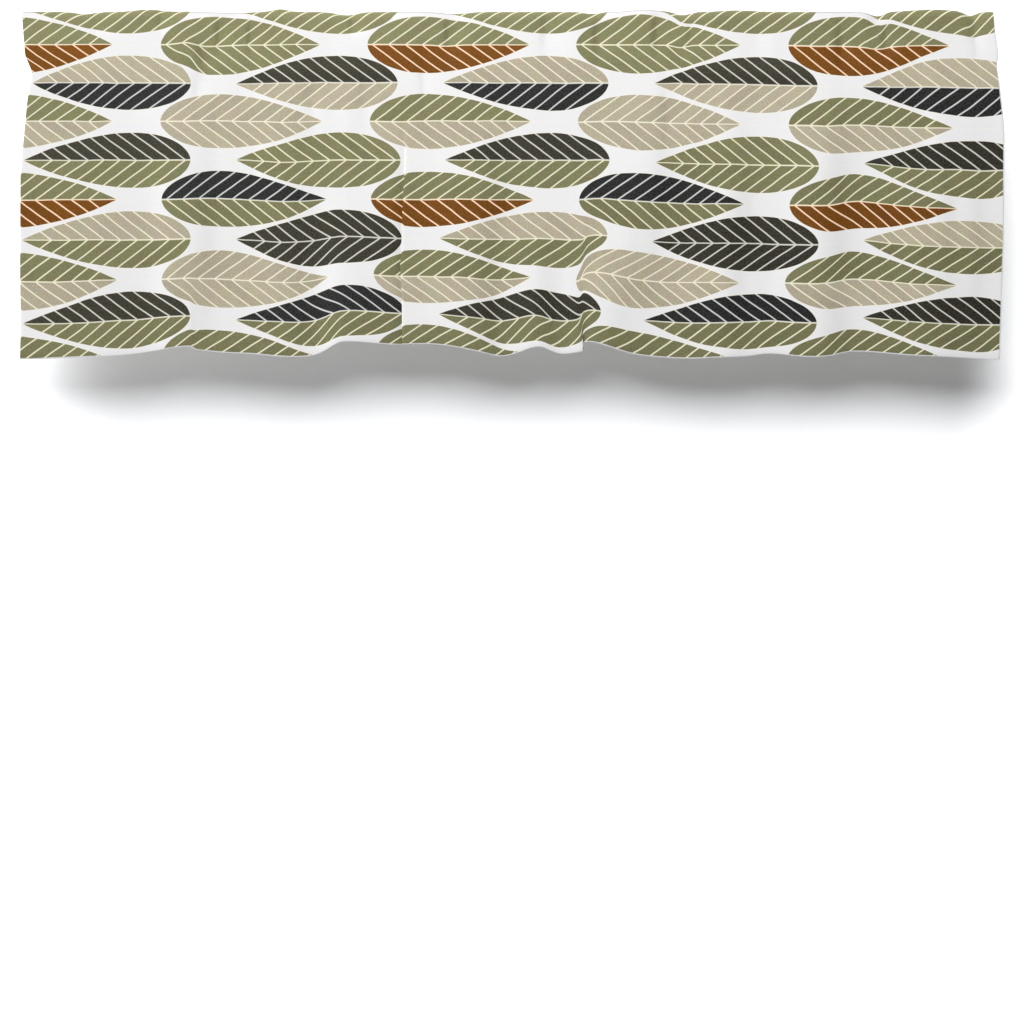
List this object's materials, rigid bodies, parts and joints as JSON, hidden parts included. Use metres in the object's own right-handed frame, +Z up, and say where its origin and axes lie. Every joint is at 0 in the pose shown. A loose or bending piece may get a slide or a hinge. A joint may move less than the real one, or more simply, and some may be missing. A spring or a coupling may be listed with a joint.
{
  "type": "window valance",
  "caption": "Short wide printed cloth valance with a rod pocket along its top edge and an uneven hem, hung in shallow folds.",
  "frame": {"origin": "middle of the top edge, where the cloth turns over the rod", "axes": "+X along the window to the viewer's right, +Y from the printed front towards the wall, +Z up"},
  "size_m": [1.3021, 0.031, 0.4646],
  "materials": {
    "printed_cloth": "matt plain weave with rows of printed leaves on a white ground"
  },
  "bodies": {
    "root": {"valance_cloth": "printed_cloth"}
  },
  "joints": []
}
